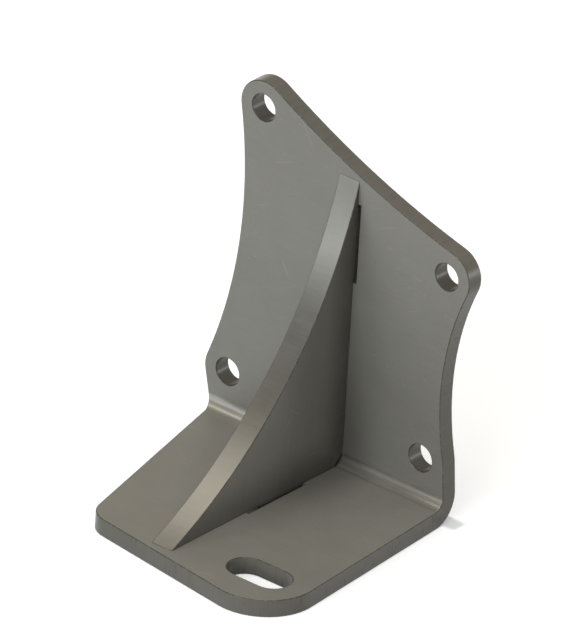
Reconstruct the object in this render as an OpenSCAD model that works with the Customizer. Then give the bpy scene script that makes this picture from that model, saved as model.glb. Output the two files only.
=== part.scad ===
// Transmission mounting bracket. One thick plate is folded once into a wall and a base, and a
// thicker gusset stands across the inside of the fold, tabbed into a slot in each.
// Millimetres, +Z up, +X along the fold, the wall at the back (+Y) and the base in front of it.
// The origin is the centre of the base's bolt slot, in the plane of the underside.
// Widths are measured from the gusset's middle plane, depths from the back face of the wall,
// and heights from the underside, unless the comment says otherwise.

/* [Plate] */
// Thickness of the folded plate
plate_t = 6.5; // [5:0.5:8]
// Inside radius of the fold
bend_r = 4; // [2:0.5:7]
// Depth of the neutral line in the fold, as a share of the thickness
k_factor = 0.44; // [0.3:0.01:0.5]
// Slant of the blank's left edge, which runs straight on round the fold, in degrees
left_taper = 13; // [0:0.5:18]
// Slant of the blank's right edge, which runs straight on round the fold, in degrees
right_taper = 4.7; // [0:0.1:8]

/* [Wall] */
// Diameter of the four bolt holes
hole_d = 10; // [6:0.5:13]
// Radius of the lug round each bolt hole
lug_r = 10; // [9:0.5:13]
// Height of the two lower holes
low_hole_z = 21.5; // [20:0.5:28]
// Distance of the lower left hole to the left
left_hole_x = 47.2; // [40:0.1:60]
// Distance of the lower right hole to the right
right_hole_x = 38; // [32:0.1:44]
// Distance of the top hole to the left
top_hole_x = 38.9; // [30:0.1:45]
// Height of the top hole
top_hole_z = 126.4; // [123.5:0.1:140]
// Distance of the upper right hole to the right
side_hole_x = 44.4; // [40:0.1:55]
// Height of the upper right hole
side_hole_z = 93.6; // [91:0.1:105]
// Radius of the hollow left edge
left_scoop_r = 182.5; // [150:0.5:300]
// Radius of the hollow top edge
top_scoop_r = 326.5; // [250:0.5:500]
// Radius of the hollow right edge
right_scoop_r = 107.5; // [85:0.5:200]

/* [Base] */
// Depth of the front left corner, before it is rounded
front_d = 94.7; // [92:0.1:110]
// Slant of the front edge across the base, in degrees
front_slant = 9; // [0:0.5:12]
// Radius of the front left corner
left_corner_r = 10; // [3:0.5:20]
// Radius of the front right corner
right_corner_r = 20; // [5:0.5:24]
// Width of the bolt slot
bolt_slot_w = 14; // [8:0.5:18]
// Length of the bolt slot from end to end
bolt_slot_l = 25.2; // [19:0.1:32]
// Distance of the bolt slot's centre to the right
bolt_slot_x = 35.2; // [28:0.1:36]
// Depth of the bolt slot's centre
bolt_slot_d = 86.5; // [70:0.5:88]

/* [Gusset] */
// Thickness of the gusset
gusset_t = 9; // [6:0.5:12]
// Height of the gusset above the base
gusset_h = 108.5; // [100:0.5:109.5]
// Length of the gusset along the base, from the front face of the wall
gusset_l = 90; // [70:0.5:92]
// Radius of the gusset's hollow front edge
gusset_scoop_r = 160; // [120:0.5:400]

/* [Tabs] */
// Clearance between a tab and its slot
tab_clear = 1; // [0.2:0.1:1.5]
// Length of the tab slot in the wall
wall_slot_l = 30; // [16:0.5:36]
// Height of the middle of the tab slot in the wall
wall_slot_z = 91; // [60:0.5:96]
// Length of the tab slot in the base
base_slot_l = 30; // [20:0.5:40]
// Depth of the rear end of the tab slot in the base
base_slot_d = 27; // [20:0.5:40]

/* [Hidden] */
// Faces round a full circle, and round one of the large circles that cut the hollow edges
$fn = 120;
scoop_fn = 720;
// How far a cutting shape runs past what it cuts
over = 2;
// How far a rounded corner stands past the edges it blends into, so that their faces cross
lap = 0.002;
// Steps in which a slanted edge of the blank turns round the fold
fold_steps = 9;

// The fold's axis lies this far in front of the wall's back face and above the underside
fold = plate_t + bend_r;
// Length of blank that the fold uses up, along the neutral line
fold_l = PI / 2 * (bend_r + k_factor * plate_t);
// Radius on which a blended edge touches a lug
touch_r = lug_r - lap;

// Bolt hole centres on the wall, as [across, up]
top_hole = [-top_hole_x, top_hole_z];
side_hole = [side_hole_x, side_hole_z];
left_hole = [-left_hole_x, low_hole_z];
right_hole = [right_hole_x, low_hole_z];

// The blank's slanted edges touch the two lower lugs here
left_touch = left_hole + touch_r * [-cos(left_taper), -sin(left_taper)];
right_touch = right_hole + touch_r * [cos(right_taper), sin(right_taper)];
// and reach the upper and the lower end of the fold at these widths
wall_left_x = left_touch[0] + (left_touch[1] - fold) * tan(left_taper);
wall_right_x = right_touch[0] + (right_touch[1] - fold) * tan(right_taper);
base_left_x = wall_left_x + fold_l * tan(left_taper);
base_right_x = wall_right_x + fold_l * tan(right_taper);

// Sharp front corners of the base, as [across, back to front]
front_left = [base_left_x + (front_d - fold) * tan(left_taper), -front_d];
front_w = (base_right_x - front_left[0] + (front_d - fold) * tan(right_taper))
    / (1 - tan(front_slant) * tan(right_taper));
front_right = front_left + front_w * [1, -tan(front_slant)];

// Half the width of a plain strip that holds the whole blank
strip_w = ceil(max(-wall_left_x, base_right_x, front_right[0])) + over;

// A tab slot is wider than the gusset by the clearance on each side
tab_slot_w = gusset_t + 2 * tab_clear;
wall_tab_l = wall_slot_l - 2 * tab_clear;
// The gusset drops into the base and slides back by the plate's thickness into the wall
base_tab_l = base_slot_l - tab_clear - plate_t;

function unit(v) = v / norm(v);

// Centre of the circle of radius r that passes p and q at the distance d, on their left side
function arc_centre(p, q, r, d = 0) =
    let (half = norm(q - p) / 2, along = unit(q - p))
    (p + q) / 2 + sqrt(pow(r + d, 2) - pow(half, 2)) * [-along[1], along[0]];

// Centre of the circle of radius r that touches both edges out of the corner p, along u and v
function corner_centre(p, u, v, r) =
    let (half = acos(unit(u) * unit(v)) / 2)
    p + r / sin(half) * unit(unit(u) + unit(v));

// Foot of the perpendicular from c on the line through p along v
function foot(c, p, v) = p + ((c - p) * unit(v)) * unit(v);

module disc(centre, r, fn = $fn) {
    translate(centre)
        circle(r, $fn = fn);
}

// Wall seen from the front: four lugs and the hollow edges between them. Below the two lower
// lugs it is still a plain strip, which the slanted edges are cut from.
module wall_outline() {
    left_scoop = arc_centre(left_hole, top_hole, left_scoop_r, touch_r);
    top_scoop = arc_centre(top_hole, side_hole, top_scoop_r, touch_r);
    right_scoop = arc_centre(side_hole, right_hole, right_scoop_r, touch_r);
    reach = lug_r + over;
    intersection() {
        translate([-strip_w, fold])
            square([2 * strip_w, top_hole_z + lug_r]);
        union() {
            difference() {
                polygon([
                    left_hole, left_touch, [-strip_w, left_touch[1]], [-strip_w, 0],
                    [strip_w, 0], [strip_w, right_touch[1]], right_touch, right_hole,
                    right_hole + reach * unit(right_scoop - right_hole),
                    side_hole + reach * unit(right_scoop - side_hole), side_hole,
                    side_hole + reach * unit(top_scoop - side_hole),
                    top_hole + reach * unit(top_scoop - top_hole), top_hole,
                    top_hole + reach * unit(left_scoop - top_hole),
                    left_hole + reach * unit(left_scoop - left_hole)
                ]);
                disc(left_scoop, left_scoop_r, scoop_fn);
                disc(top_scoop, top_scoop_r, scoop_fn);
                disc(right_scoop, right_scoop_r, scoop_fn);
            }
            for (hole = [top_hole, side_hole, left_hole, right_hole])
                disc(hole, lug_r);
        }
    }
}

// Base seen from above: a slanted front between two round corners. Behind them it is still a
// plain strip, which the slanted edges are cut from.
module base_outline() {
    left_way = [base_left_x, -fold] - front_left;
    right_way = [base_right_x, -fold] - front_right;
    front_way = front_right - front_left;
    left_c = corner_centre(front_left, left_way, front_way, left_corner_r - lap);
    right_c = corner_centre(front_right, right_way, -front_way, right_corner_r - lap);
    left_side = foot(left_c, front_left, left_way);
    right_side = foot(right_c, front_right, right_way);
    polygon([
        [-strip_w, -fold], [-strip_w, left_side[1]], left_side, left_c,
        foot(left_c, front_left, front_way), foot(right_c, front_right, front_way),
        right_c, right_side, [strip_w, right_side[1]], [strip_w, -fold]
    ]);
    disc(left_c, left_corner_r);
    disc(right_c, right_corner_r);
}

// Waste beyond a slanted edge of the blank, which is at width x at the upper end of the fold.
// It runs from a little above the point touch down the wall, round the fold and along the base.
// The cut is square to the plate all the way, as on a blank that is cut flat and then folded.
module side_waste(x, taper, touch, side) {
    far_x = side * (strip_w + over);
    in_r = bend_r / 2;
    out_r = fold + over;
    // Stations along the edge, as [turn round the fold, way past that end of it]
    stations = [
        [0, fold - touch[1] - over],
        for (i = [0:fold_steps]) [90 * i / fold_steps, 0],
        [90, 2 * strip_w]
    ];
    function edge_x(s) = x + (s[0] / 90 * fold_l + s[1]) * tan(taper);
    function station_point(s, across, r) = [
        across,
        r * cos(s[0]) - fold - s[1] * sin(s[0]),
        fold - r * sin(s[0]) - s[1] * cos(s[0])
    ];
    points = [
        for (s = stations) each [
            station_point(s, far_x, in_r), station_point(s, far_x, out_r),
            station_point(s, edge_x(s), out_r), station_point(s, edge_x(s), in_r)
        ]
    ];
    last = 4 * (len(stations) - 1);
    skin = [
        for (i = [0:4:last - 4], j = [0:3])
            let (p = i + j, q = i + (j + 1) % 4)
            each [[p, p + 4, q], [q, p + 4, q + 4]]
    ];
    ends = [[0, 1, 2], [0, 2, 3], [last + 2, last + 1, last], [last + 3, last + 2, last]];
    faces = concat(skin, ends);
    polyhedron(points, side > 0 ? [for (f = faces) [f[2], f[1], f[0]]] : faces);
}

module fold_strip() {
    translate([-strip_w, -fold, fold])
        rotate([90, 0, 90])
            linear_extrude(2 * strip_w)
                intersection() {
                    difference() {
                        circle(fold);
                        circle(bend_r);
                    }
                    translate([0, -2 * fold])
                        square(2 * fold);
                }
}

// Round-ended slot along the first axis, with its middle at the origin
module round_slot(length, width) {
    flat = length - width;
    square([flat, width], center = true);
    for (side = [-1, 1])
        intersection() {
            disc([side * flat / 2, 0], width / 2);
            translate([side > 0 ? flat / 2 : -flat / 2 - width, -width])
                square([width, 2 * width]);
        }
}

// From the datum of the sketches to the part's own origin at the bolt slot
module at_origin() {
    translate([-bolt_slot_x, bolt_slot_d, 0])
        children();
}

module bent_plate() {
    color([0.47, 0.47, 0.44])
        at_origin()
            difference() {
                union() {
                    rotate([90, 0, 0])
                        linear_extrude(plate_t)
                            difference() {
                                wall_outline();
                                for (hole = [top_hole, side_hole, left_hole, right_hole])
                                    disc(hole, hole_d / 2);
                                translate([0, wall_slot_z])
                                    square([tab_slot_w, wall_slot_l], center = true);
                            }
                    fold_strip();
                    linear_extrude(plate_t)
                        difference() {
                            base_outline();
                            translate([bolt_slot_x, -bolt_slot_d])
                                round_slot(bolt_slot_l, bolt_slot_w);
                            translate([-tab_slot_w / 2, -base_slot_d - base_slot_l])
                                square([tab_slot_w, base_slot_l]);
                        }
                }
                side_waste(wall_left_x, left_taper, left_touch, -1);
                side_waste(wall_right_x, right_taper, right_touch, 1);
            }
}

// Gusset seen from the left, as [forward from the wall's front face, up from the base's top]
module gusset_outline() {
    front_end = [gusset_l, 0];
    top_end = [0, gusset_h];
    scoop = arc_centre(top_end, front_end, gusset_scoop_r);
    wall_tab_z = wall_slot_z - wall_tab_l / 2 - plate_t;
    base_tab_d = base_slot_d + tab_clear - plate_t;
    difference() {
        polygon([
            [bend_r, 0], [base_tab_d, 0], [base_tab_d, -plate_t],
            [base_tab_d + base_tab_l, -plate_t], [base_tab_d + base_tab_l, 0],
            front_end + [over, 0], top_end + [0, over],
            [0, wall_tab_z + wall_tab_l], [-plate_t, wall_tab_z + wall_tab_l],
            [-plate_t, wall_tab_z], [0, wall_tab_z], [0, bend_r]
        ]);
        disc(scoop, gusset_scoop_r, scoop_fn);
    }
}

module gusset() {
    color([0.38, 0.37, 0.34])
        at_origin()
            translate([gusset_t / 2, -plate_t, plate_t])
                rotate([90, 0, -90])
                    linear_extrude(gusset_t)
                        gusset_outline();
}

bent_plate();
gusset();
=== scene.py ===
import math

import bpy
from mathutils import Matrix, Vector


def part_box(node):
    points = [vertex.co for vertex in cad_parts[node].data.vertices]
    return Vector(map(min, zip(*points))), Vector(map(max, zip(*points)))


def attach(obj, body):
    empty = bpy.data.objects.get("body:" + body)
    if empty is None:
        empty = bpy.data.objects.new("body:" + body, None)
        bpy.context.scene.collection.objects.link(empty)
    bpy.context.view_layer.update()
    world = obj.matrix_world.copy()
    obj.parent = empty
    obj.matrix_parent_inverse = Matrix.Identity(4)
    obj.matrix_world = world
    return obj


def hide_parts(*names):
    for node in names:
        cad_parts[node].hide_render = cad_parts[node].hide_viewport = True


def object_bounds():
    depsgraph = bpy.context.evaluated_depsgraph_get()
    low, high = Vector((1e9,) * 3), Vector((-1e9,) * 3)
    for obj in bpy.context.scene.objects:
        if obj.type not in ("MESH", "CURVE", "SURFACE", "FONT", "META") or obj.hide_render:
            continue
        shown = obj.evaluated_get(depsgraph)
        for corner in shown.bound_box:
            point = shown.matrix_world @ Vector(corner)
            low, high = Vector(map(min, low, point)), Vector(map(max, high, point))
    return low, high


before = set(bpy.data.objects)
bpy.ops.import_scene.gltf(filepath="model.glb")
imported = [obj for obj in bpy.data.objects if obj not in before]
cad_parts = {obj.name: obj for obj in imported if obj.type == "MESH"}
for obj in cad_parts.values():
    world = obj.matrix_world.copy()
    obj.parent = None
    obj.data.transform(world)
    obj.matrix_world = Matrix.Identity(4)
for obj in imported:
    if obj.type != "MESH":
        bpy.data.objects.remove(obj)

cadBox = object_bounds()     # the box before anything is dressed
mm = 0.001
print("frame loaded:", ", ".join(sorted(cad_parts)))

# where the bent plate's faces and its fold lie, for the camera and the looks
plate = {
    "thickness": 6.5 * mm,
    "foldInside": 4 * mm,              # inside radius of the fold
    "back": cadBox[1].y,               # mounting face of the wall
}
plate["front"] = plate["back"] - plate["thickness"]
plate["foldOutside"] = plate["thickness"] + plate["foldInside"]
plate["foldAxisY"] = plate["front"] - plate["foldInside"]
plate["foldAxisZ"] = plate["foldOutside"]

# a parallel view from the front right, rolled a little
view = {
    "azimuth": 38.216,                 # degrees round from the front
    "elevation": 28.314,
    "roll": 3.6745,
    "photoWide": 580,
    "photoHigh": 641,
    "pixelsPerMetre": 2955,
    "cornerPixel": (341.39, 462.56),   # the inner corner at the gusset's right face
    "away": 0.6,
    "near": 0.01,                      # what lies nearer or further than these isn't drawn
    "far": 20,
}


def pointCamera():
    turn, tilt, roll = (math.radians(view[k]) for k in ("azimuth", "elevation", "roll"))
    right = Vector((math.cos(turn), math.sin(turn), 0))
    forward = Vector((
        -math.sin(turn) * math.cos(tilt),
        math.cos(turn) * math.cos(tilt),
        -math.sin(tilt),
    ))
    up = right.cross(forward)
    right, up = (
        right * math.cos(roll) + up * math.sin(roll),
        up * math.cos(roll) - right * math.sin(roll),
    )
    gussetLow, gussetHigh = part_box("gusset")
    corner = Vector((gussetHigh.x, plate["front"], plate["thickness"]))
    cornerAcross, cornerDown = view["cornerPixel"]
    across = ((view["photoWide"] - 1) / 2 - cornerAcross) / view["pixelsPerMetre"]
    down = ((view["photoHigh"] - 1) / 2 - cornerDown) / view["pixelsPerMetre"]
    middle = corner + right * across - up * down
    turned = Matrix((right, up, -forward)).transposed().to_4x4()
    bpy.ops.object.camera_add()
    camera = bpy.context.object
    camera.name = "photoCamera"
    camera.matrix_world = Matrix.Translation(middle - forward * view["away"]) @ turned
    camera.data.type = "ORTHO"
    camera.data.ortho_scale = view["photoHigh"] / view["pixelsPerMetre"]
    camera.data.clip_start = view["near"]
    camera.data.clip_end = view["far"]
    bpy.context.scene.camera = camera


pointCamera()
print("camera placed")

# lamps, the world and the floor. Directions are from the object towards the lamp.
studio = {
    "lampAway": 1.2,
    "lamps": {
        "keyLamp": {
            "towards": (0.14, -0.95, 0.30), "wide": 0.9, "high": 0.6,
            "watts": 8.2, "tint": (0.98, 1.0, 0.96),
        },
        # the bright bands along the gusset's hollow front edge
        "topStrip": {
            "towards": (-0.545, -0.20, 0.81), "wide": 0.5, "high": 0.34,
            "watts": 1.3, "tint": (1.0, 0.94, 0.82),
        },
        "lowStrip": {
            "towards": (-0.55, -0.82, 0.17), "wide": 0.5, "high": 0.16,
            "watts": 0.64, "tint": (0.97, 1.0, 0.98),
        },
        # light from behind, on the edges that face it
        "backRightStrip": {
            "towards": (0.70, 0.70, 0.08), "wide": 0.5, "high": 0.26,
            "watts": 2.6, "tint": (1.0, 1.0, 0.98),
        },
        "backLeftStrip": {
            "towards": (-0.70, 0.69, 0.14), "wide": 0.6, "high": 0.4,
            "watts": 0.45, "tint": (1.0, 1.0, 0.98),
        },
    },
    "sunStrength": 1.18,
    "sunTint": (1.0, 0.96, 0.88),
    "sunAngle": 1.2,                   # degrees across
    # tones by height over the horizon, white in a thin band where a level view meets it
    "skyFrontTones": [
        (0.02, (1.0, 1.0, 1.0)),
        (0.03, (0.72, 0.75, 0.73)),
        (0.15, (0.72, 0.75, 0.73)),
        (0.45, (0.41, 0.40, 0.37)),
        (0.9, (0.55, 0.49, 0.40)),
    ],
    "skyBackTones": [
        (0.02, (1.0, 1.0, 1.0)),
        (0.03, (0.58, 0.52, 0.43)),
        (0.15, (0.55, 0.49, 0.40)),
        (0.45, (0.33, 0.29, 0.24)),
        (0.9, (0.40, 0.35, 0.28)),
    ],
    "skyStrength": 1.0,
    "skyFront": (-0.30, -0.95, 0.0),   # the side from which the sky is brightest
    "skyTurn": (-0.4, 0.8),            # where the back's tones end and the front's are full
    "floorSize": 60,
    "floorDrop": 0.05 * mm,
    "floorColour": (0.93, 0.95, 0.99),
    "floorGlowTint": (0.82, 0.92, 1.06),
    "floorGlow": 0.25,                 # lifts the lit floor to white and leaves its shadow
    "floorShade": (0.15, 0.15, 0.15),  # what the floor gives back to matt surfaces
}


def areaLamp(name, lamp, middle):
    towards = Vector(lamp["towards"]).normalized()
    bpy.ops.object.light_add(type="AREA", location=middle + towards * studio["lampAway"])
    light = bpy.context.object
    light.name = name
    light.rotation_euler = towards.to_track_quat("Z", "Y").to_euler()
    light.data.shape = "RECTANGLE"
    light.data.size = lamp["wide"]
    light.data.size_y = lamp["high"]
    light.data.energy = lamp["watts"]
    light.data.color = lamp["tint"]
    light.visible_camera = False


def sunLamp(name):
    bpy.ops.object.light_add(type="SUN", location=(0, 0, 1))    # it shines straight down
    light = bpy.context.object
    light.name = name
    light.data.energy = studio["sunStrength"]
    light.data.color = studio["sunTint"]
    light.data.angle = math.radians(studio["sunAngle"])


class Number:
    # a number socket in a node tree, which sums in Python add Math nodes to
    def __init__(self, tree, socket):
        self.tree = tree
        self.socket = socket

    def maths(self, operation, *values):
        made = self.tree.nodes.new("ShaderNodeMath")
        made.operation = operation
        for slot, value in zip(made.inputs, values):
            feed(self.tree, slot, value)
        return Number(self.tree, made.outputs[0])

    def __add__(self, other):
        return self.maths("ADD", self, other)

    def __radd__(self, other):
        return self.maths("ADD", other, self)

    def __sub__(self, other):
        return self.maths("SUBTRACT", self, other)

    def __rsub__(self, other):
        return self.maths("SUBTRACT", other, self)

    def __mul__(self, other):
        return self.maths("MULTIPLY", self, other)

    def __rmul__(self, other):
        return self.maths("MULTIPLY", other, self)

    def __pow__(self, other):
        return self.maths("POWER", self, other)

    def __lt__(self, other):
        return self.maths("LESS_THAN", self, other)

    def __abs__(self):
        return self.maths("ABSOLUTE", self)

    def least(self, other):
        return self.maths("MINIMUM", self, other)


def feed(tree, slot, value):
    if isinstance(value, Number):
        tree.links.new(value.socket, slot)
    elif isinstance(value, bpy.types.NodeSocket):
        tree.links.new(value, slot)
    elif slot.type == "RGBA":
        slot.default_value = (*value, 1)
    else:
        slot.default_value = value


class Shader:
    # a material's or the world's node tree
    def __init__(self, owner):
        owner.use_nodes = True
        self.tree = owner.node_tree
        self.tree.nodes.clear()

    def node(self, kind, settings=None, sockets=None):
        made = self.tree.nodes.new("ShaderNode" + kind)
        for name, value in (settings or {}).items():
            if name == "stops":
                self.stops(made.color_ramp, value)
            else:
                setattr(made, name, value)
        for name, value in (sockets or {}).items():
            feed(self.tree, made.inputs[name], value)
        return made

    def stops(self, ramp, wanted):
        while len(ramp.elements) < len(wanted):
            ramp.elements.new(1)
        for element, (place, colour) in zip(ramp.elements, wanted):
            element.position = place
            element.color = (*colour, 1)

    def number(self, socket):
        return Number(self.tree, socket)

    def place(self):
        return self.node("TexCoord").outputs["Object"]

    def along(self, place=None):
        split = self.node("SeparateXYZ", sockets={"Vector": place or self.place()})
        return [self.number(split.outputs[k]) for k in "XYZ"]

    def noise(self, scale, stretch=(1, 1, 1), detail=3, roughness=0.5,
              shift=(0, 0, 0), turn=(0, 0, 0)):
        # the turn is in degrees and comes first, so that the stretch lies along it
        radians = [math.radians(t) for t in turn]
        turned = self.node("Mapping", sockets={"Vector": self.place(), "Rotation": radians})
        grid = self.node("Mapping", sockets={
            "Vector": turned.outputs[0], "Scale": stretch, "Location": shift,
        })
        made = self.node("TexNoise", sockets={
            "Vector": grid.outputs[0], "Scale": scale, "Detail": detail, "Roughness": roughness,
        })
        return self.number(made.outputs["Fac"])

    def cells(self, scale):
        made = self.node("TexVoronoi", {"feature": "F1"}, {"Vector": self.place(), "Scale": scale})
        return self.number(made.outputs["Distance"])

    def ramp(self, factor, stops):
        return self.node("ValToRGB", {"stops": stops}, {"Fac": factor}).outputs["Color"]

    def step(self, factor, low, high):
        # 0 up to low, 1 from high on, and smooth between them
        made = self.node("MapRange", {"interpolation_type": "SMOOTHSTEP"}, {
            "Value": factor, "From Min": low, "From Max": high,
        })
        return self.number(made.outputs["Result"])

    def blend(self, factor, first, second):
        # a Mix node has sockets for every kind of value, and these are the ones for colours
        firstColour, secondColour, mixedColour = 6, 7, 2
        made = self.node("Mix", {"data_type": "RGBA"}, {
            "Factor": factor, firstColour: first, secondColour: second,
        })
        return made.outputs[mixedColour]

    def bump(self, height, strength, distance):
        made = self.node("Bump", sockets={
            "Height": height, "Strength": strength, "Distance": distance,
        })
        return made.outputs[0]


def lightWorld():
    world = bpy.data.worlds.new("studio")
    bpy.context.scene.world = world
    shade = Shader(world)
    way = shade.node("TexCoord").outputs["Generated"]
    height = shade.along(way)[2]
    facing = shade.node("VectorMath", {"operation": "DOT_PRODUCT"}, {
        0: way, 1: studio["skyFront"],
    })
    side = shade.step(shade.number(facing.outputs["Value"]), *studio["skyTurn"])
    backTone = shade.ramp(height, studio["skyBackTones"])
    frontTone = shade.ramp(height, studio["skyFrontTones"])
    sky = shade.blend(side, backTone, frontTone)
    glow = shade.node("Background", sockets={"Color": sky, "Strength": studio["skyStrength"]})
    shade.node("OutputWorld", sockets={"Surface": glow.outputs[0]})


def layFloor():
    drop = (0, 0, -studio["floorDrop"])
    bpy.ops.mesh.primitive_plane_add(size=studio["floorSize"], location=drop)
    floor = bpy.context.object
    floor.name = "studioFloor"
    material = bpy.data.materials.new("paleFloor")
    shade = Shader(material)
    path = shade.node("LightPath")
    seen = shade.number(path.outputs["Is Camera Ray"]) + shade.number(path.outputs["Is Glossy Ray"])
    seen = (seen + shade.number(path.outputs["Is Transmission Ray"])).least(1)
    matt = shade.node("BsdfDiffuse", sockets={"Color": studio["floorColour"]})
    glow = shade.node("Emission", sockets={
        "Color": studio["floorGlowTint"], "Strength": studio["floorGlow"],
    })
    bright = shade.node("AddShader", sockets={0: matt.outputs[0], 1: glow.outputs[0]})
    dull = shade.node("BsdfDiffuse", sockets={"Color": studio["floorShade"]})
    both = shade.node("MixShader", sockets={
        "Fac": seen, 1: dull.outputs[0], 2: bright.outputs[0],
    })
    shade.node("OutputMaterial", sockets={"Surface": both.outputs[0]})
    floor.data.materials.append(material)


middle = (cadBox[0] + cadBox[1]) / 2
for lampName, lamp in studio["lamps"].items():
    areaLamp(lampName, lamp, middle)
sunLamp("overheadSun")
lightWorld()
layFloor()
bpy.context.scene.view_settings.view_transform = "Standard"
print("studio lit")

# fine structure that both pieces' steel shares. A scale is noise cells to a metre, and a pair
# holds the values of the noise between which a mark or a tone comes in.
noiseMiddle = 0.5
texture = {
    "cloudScale": 28, "cloudDetail": 4, "cloudRoughness": 0.55,
    "patchScale": 95, "patchRoughness": 0.6, "patchShift": (0.3, 0.1, 0.7),
    "grainScale": 900, "grainRoughness": 0.6,
    "toothScale": 1800, "toothDetail": 2,
    "cloudShare": 0.45, "patchShare": 0.2, "grainShare": 0.35, "tone": (0.28, 0.72),
    "grainRough": 0.07, "patchRough": 0.10,
    "faceGrainRelief": 0.3, "cutGrainRelief": 0.6, "toothRelief": 0.25,
    "bumpStrength": 0.2, "bumpDistance": 0.03 * mm,
}
pitting = {
    "scale": 330, "pit": (0.05, 0.16),
    "areaScale": 120, "areaShift": (2, 5, 1), "area": (0.52, 0.62),
    "relief": 0.8,
}
scratching = {
    "scale": 1100, "stretch": (0.025, 1, 1), "hair": (0.70, 0.76),
    "areaScale": 60, "area": (0.50, 0.60), "detail": 1,
    "colour": (0.36, 0.355, 0.335), "rough": 0.08, "relief": 0.4,
}

# oxide that the cutting left on the arrises and in the pits
oxide = {
    "dark": (0.060, 0.058, 0.052), "light": (0.130, 0.127, 0.115),
    "fleckScale": 900, "fleck": (0.4, 0.75), "fleckRough": 0.3,
    "metallic": 0.5, "roughness": 0.45,
}

# painted shade that darkens the inside corners round the gusset, strongest by the fold and laid on
# in patches
cornerShade = {
    "colour": (0.034, 0.032, 0.028), "strength": 0.60, "rough": 0.06,
    "least": 0.75, "patches": 0.5,     # how much of it there is everywhere, and by patches
    "beside": 21 * mm,                 # how far it spreads from the gusset over the plate
    "byWall": 15 * mm,                 # and from the wall and the base over the gusset
    "byBase": 18 * mm,
    "thick": 8 * mm,                   # full up to this distance from the corner of the fold
    "gone": 70 * mm,
    "inside": (-3 * mm, -1.5 * mm),    # it starts this deep in the plate, so only on the inner side
}

# plain rolled plate with darker cut edges. Its grain runs where the stretch is small.
bentPlateSteel = {
    "face": {
        "light": (0.217, 0.217, 0.203), "dark": (0.189, 0.188, 0.176),
        "metallic": 0.25, "roughness": 0.46, "gloss": 0.5, "wear": 0.24,
        "grain": (0.08, 1, 1),
        "scratchTurns": ((0, 24, 0), (0, -58, 0), (0, 0, 33), (0, 0, -20)),
    },
    # the cutting marks run through the thickness: along Z in the base and along Y in the wall
    "cutEdge": {
        "light": (0.153, 0.150, 0.138), "dark": (0.121, 0.119, 0.109),
        "metallic": 0.05, "roughness": 0.29, "gloss": 0.2, "wear": 0.3,
        "grain": (1, 1, 0.1), "wallGrain": (1, 0.1, 1), "grainTurn": 0.5 * mm,
    },
    # the bending punch's bright track inside the fold
    "burnish": {
        "colour": (0.345, 0.338, 0.316), "metallic": 0.75, "roughness": 0.36,
        "soft": 0.5 * mm, "least": 0.55, "byTone": 0.45,
    },
}
gussetSteel = {
    "face": {
        "light": (0.213, 0.210, 0.194), "dark": (0.181, 0.179, 0.165),
        "metallic": 0.35, "roughness": 0.46, "gloss": 0.5, "wear": 0.24,
        "grain": (1, 1, 0.08),
        "scratchTurns": ((0, 0, 90), (0, 0, 90), (35, 0, 90), (-50, 0, 90)),
    },
    "cutEdge": {
        "light": (0.226, 0.225, 0.212), "dark": (0.188, 0.187, 0.176),
        "metallic": 0.9, "roughness": 0.30, "gloss": 0.5, "wear": 0.2,
        "grain": (0.1, 1, 1),
    },
}


def foldTrack(shade):
    # 1 on the inside of the fold, fading out past the ends of its curve
    deep, high = shade.along()[1:]
    soft = bentPlateSteel["burnish"]["soft"]
    forward = shade.step(deep, plate["foldAxisY"] - soft, plate["foldAxisY"] + soft)
    low = 1 - shade.step(high, plate["foldAxisZ"] - soft, plate["foldAxisZ"] + soft)
    away = ((deep - plate["foldAxisY"]) ** 2 + (high - plate["foldAxisZ"]) ** 2) ** 0.5
    return forward * low * (away < (plate["foldInside"] + plate["thickness"] / 2))


def shadedCornerMask(shade, onGusset):
    # the mask of the painted corner shade: 1 in the inside corners, fading out away from them
    across, deep, high = shade.along()
    fromWall = plate["front"] - deep
    fromBase = high - plate["thickness"]
    if onGusset:
        offWall = shade.step(fromWall, 0, cornerShade["byWall"])
        return 1 - offWall * shade.step(fromBase, 0, cornerShade["byBase"])
    low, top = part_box("gusset")
    beside = abs(across - (low.x + top.x) / 2) - (top.x - low.x) / 2
    fromFold = (fromWall ** 2 + fromBase ** 2) ** 0.5
    inside = shade.step(fromWall.least(fromBase), *cornerShade["inside"])
    near = inside * (1 - shade.step(beside, 0, cornerShade["beside"]))
    return near * (1 - shade.step(fromFold, cornerShade["thick"], cornerShade["gone"]))


def scratchMarks(shade, turns):
    # a few long hairlines from handling, in each of the given directions. The shifts keep the
    # directions' patterns apart.
    marks, detail = 0, scratching["detail"]
    for k, turn in enumerate(turns):
        hair = shade.noise(scratching["scale"], scratching["stretch"], detail,
                           turn=turn, shift=(k, 3 * k, 0))
        area = shade.noise(scratching["areaScale"], detail=detail, shift=(k + 4, 0, k))
        hair = shade.step(hair, *scratching["hair"])
        marks = marks + hair * shade.step(area, *scratching["area"])
    return marks.least(1)


def pitMarks(shade):
    # small round pits, in some areas only
    pits = 1 - shade.step(shade.cells(pitting["scale"]), *pitting["pit"])
    area = shade.noise(pitting["areaScale"], shift=pitting["areaShift"])
    return pits * shade.step(area, *pitting["area"])


def grainLines(shade, stretch):
    return shade.noise(texture["grainScale"], stretch, roughness=texture["grainRoughness"])


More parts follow.
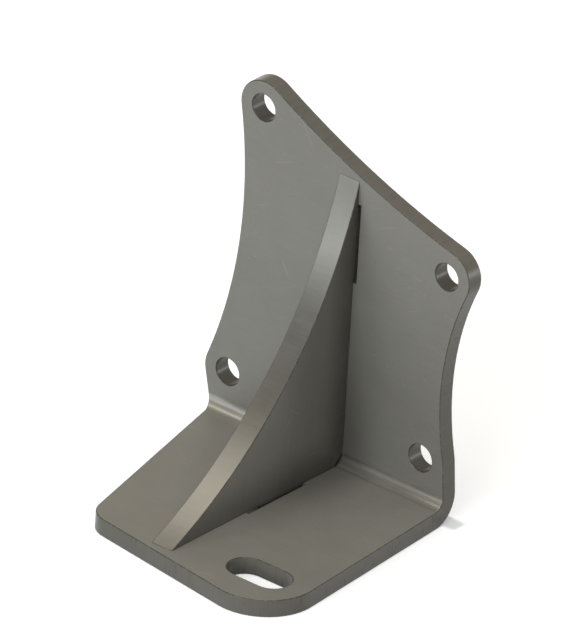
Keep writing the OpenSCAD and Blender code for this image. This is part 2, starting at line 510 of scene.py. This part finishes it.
def steelMaterial(name, finish, cut=False, folded=False):
    material = bpy.data.materials.new(name)
    shade = Shader(material)
    cloud = shade.noise(texture["cloudScale"], detail=texture["cloudDetail"],
                        roughness=texture["cloudRoughness"])
    patches = shade.noise(texture["patchScale"], roughness=texture["patchRoughness"],
                          shift=texture["patchShift"])
    grain = grainLines(shade, finish["grain"])
    if "wallGrain" in finish:
        upright = grainLines(shade, finish["wallGrain"])
        turn, soft = plate["foldAxisZ"], finish["grainTurn"]
        wall = shade.step(shade.along()[2], turn - soft, turn + soft)
        grain = grain + wall * (upright - grain)
    tooth = shade.noise(texture["toothScale"], detail=texture["toothDetail"])
    mottle = cloud * texture["cloudShare"] + patches * texture["patchShare"]
    tone = shade.step(mottle + grain * texture["grainShare"], *texture["tone"])
    colour = shade.blend(tone, finish["dark"], finish["light"])
    pits = pitMarks(shade)
    colour = shade.blend(pits * finish["wear"], colour, oxide["dark"])
    rough = finish["roughness"] + (grain - noiseMiddle) * texture["grainRough"]
    rough = rough + (patches - noiseMiddle) * texture["patchRough"]
    metallic = finish["metallic"]
    grainRelief = texture["cutGrainRelief"] if cut else texture["faceGrainRelief"]
    relief = grain * grainRelief + tooth * texture["toothRelief"] - pits * pitting["relief"]
    if not cut:
        scratches = scratchMarks(shade, finish["scratchTurns"])
        colour = shade.blend(scratches * finish["wear"], colour, scratching["colour"])
        rough = rough - scratches * scratching["rough"]
        relief = relief - scratches * scratching["relief"]
    if folded:
        track, burnish = foldTrack(shade), bentPlateSteel["burnish"]
        shine = track * (burnish["least"] + tone * burnish["byTone"])
        colour = shade.blend(shine, colour, burnish["colour"])
        metallic = metallic + track * (burnish["metallic"] - metallic)
        rough = rough + track * (burnish["roughness"] - finish["roughness"])
    if not cut:
        # painted shade: the colour is darkened in the inside corners, in patches, and the roughness
        # raised a little there
        paintedShade = shadedCornerMask(shade, not folded) * (cornerShade["least"] + patches * cornerShade["patches"])
        colour = shade.blend(paintedShade * cornerShade["strength"], colour, cornerShade["colour"])
        rough = rough + paintedShade * cornerShade["rough"]
    normal = shade.bump(relief, texture["bumpStrength"], texture["bumpDistance"])
    surface = shade.node("BsdfPrincipled", sockets={
        "Base Color": colour, "Metallic": metallic, "Roughness": rough, "Normal": normal,
        "Specular IOR Level": finish["gloss"],
    })
    shade.node("OutputMaterial", sockets={"Surface": surface.outputs[0]})
    return material


def arrisMaterial(name):
    material = bpy.data.materials.new(name)
    shade = Shader(material)
    fleck = shade.noise(oxide["fleckScale"])
    colour = shade.blend(shade.step(fleck, *oxide["fleck"]), oxide["dark"], oxide["light"])
    rough = oxide["roughness"] + (fleck - noiseMiddle) * oxide["fleckRough"]
    surface = shade.node("BsdfPrincipled", sockets={
        "Base Color": colour, "Metallic": oxide["metallic"], "Roughness": rough,
    })
    shade.node("OutputMaterial", sockets={"Surface": surface.outputs[0]})
    return material


# how a node's solid is made ready for its steel
dressing = {
    "mergeWithin": 0.09 * mm,
    "flatWithin": 0.3,                 # degrees between the triangles of one flat face
    "plateHair": 0.12 * mm,            # how near a face's middle lies to a rolled surface
    "gussetHair": 0.05 * mm,
    "arrisWide": 0.28 * mm,
    "arrisSegments": 2,
    "arrisFrom": 35,                   # degrees of turn that make an arris
    "smoothUpTo": 50,                  # degrees of turn that are shaded as one curve
}
skinSlot, cutSlot, arrisSlot = 0, 1, 2     # the order of a piece's materials


def plateSkin(centre):
    # the two rolled faces of the bent plate: within a hair of the folded sheet's surfaces
    if centre.z > plate["foldAxisZ"]:
        depth = plate["back"] - centre.y
        return min(abs(depth), abs(depth - plate["thickness"])) < dressing["plateHair"]
    if centre.y < plate["foldAxisY"]:
        return min(abs(centre.z), abs(centre.z - plate["thickness"])) < dressing["plateHair"]
    radius = math.hypot(centre.y - plate["foldAxisY"], centre.z - plate["foldAxisZ"])
    fromInside, fromOutside = radius - plate["foldInside"], radius - plate["foldOutside"]
    return min(abs(fromInside), abs(fromOutside)) < dressing["plateHair"]


def gussetSkin(centre):
    low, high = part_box("gusset")
    return min(abs(centre.x - low.x), abs(centre.x - high.x)) < dressing["gussetHair"]


def dressNode(name, skinTest, materials):
    # the node's own solid, joined up, with every arris broken by a hair and its faces told apart
    bpy.ops.object.select_all(action="DESELECT")
    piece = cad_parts[name].copy()
    piece.data = piece.data.copy()
    piece.parent = None
    bpy.context.scene.collection.objects.link(piece)
    for key in [k for k in piece.keys() if k.startswith("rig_")]:
        del piece[key]
    piece.name = name + "_dressed"
    piece.select_set(True)
    bpy.context.view_layer.objects.active = piece
    bpy.ops.object.mode_set(mode="EDIT")
    bpy.ops.mesh.select_all(action="SELECT")
    bpy.ops.mesh.remove_doubles(threshold=dressing["mergeWithin"])
    bpy.ops.mesh.dissolve_limited(angle_limit=math.radians(dressing["flatWithin"]))
    bpy.ops.object.mode_set(mode="OBJECT")
    piece.data.materials.clear()
    for material in materials:
        piece.data.materials.append(material)
    for face in piece.data.polygons:
        face.material_index = skinSlot if skinTest(face.center) else cutSlot
    bevel = piece.modifiers.new("arris", "BEVEL")
    bevel.width = dressing["arrisWide"]
    bevel.segments = dressing["arrisSegments"]
    bevel.limit_method = "ANGLE"
    bevel.angle_limit = math.radians(dressing["arrisFrom"])
    bevel.material = arrisSlot
    bevel.use_clamp_overlap = False
    bpy.ops.object.shade_smooth_by_angle(angle=math.radians(dressing["smoothUpTo"]))
    even = piece.modifiers.new("even", "WEIGHTED_NORMAL")
    even.keep_sharp = True
    for modifier in ("arris", "even"):
        bpy.ops.object.modifier_apply(modifier=modifier)
    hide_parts(name)
    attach(piece, "root")
    print(name, "dressed:", len(piece.data.polygons), "faces")
    return piece


arris = arrisMaterial("cutArris")
bentPlate = dressNode("bent_plate", plateSkin, [
    steelMaterial("rolledPlate", bentPlateSteel["face"], folded=True),
    steelMaterial("plateCutEdge", bentPlateSteel["cutEdge"], cut=True),
    arris,
])
gusset = dressNode("gusset", gussetSkin, [
    steelMaterial("gussetFace", gussetSteel["face"]),
    steelMaterial("gussetCutEdge", gussetSteel["cutEdge"], cut=True),
    arris,
])
print("steel finished")
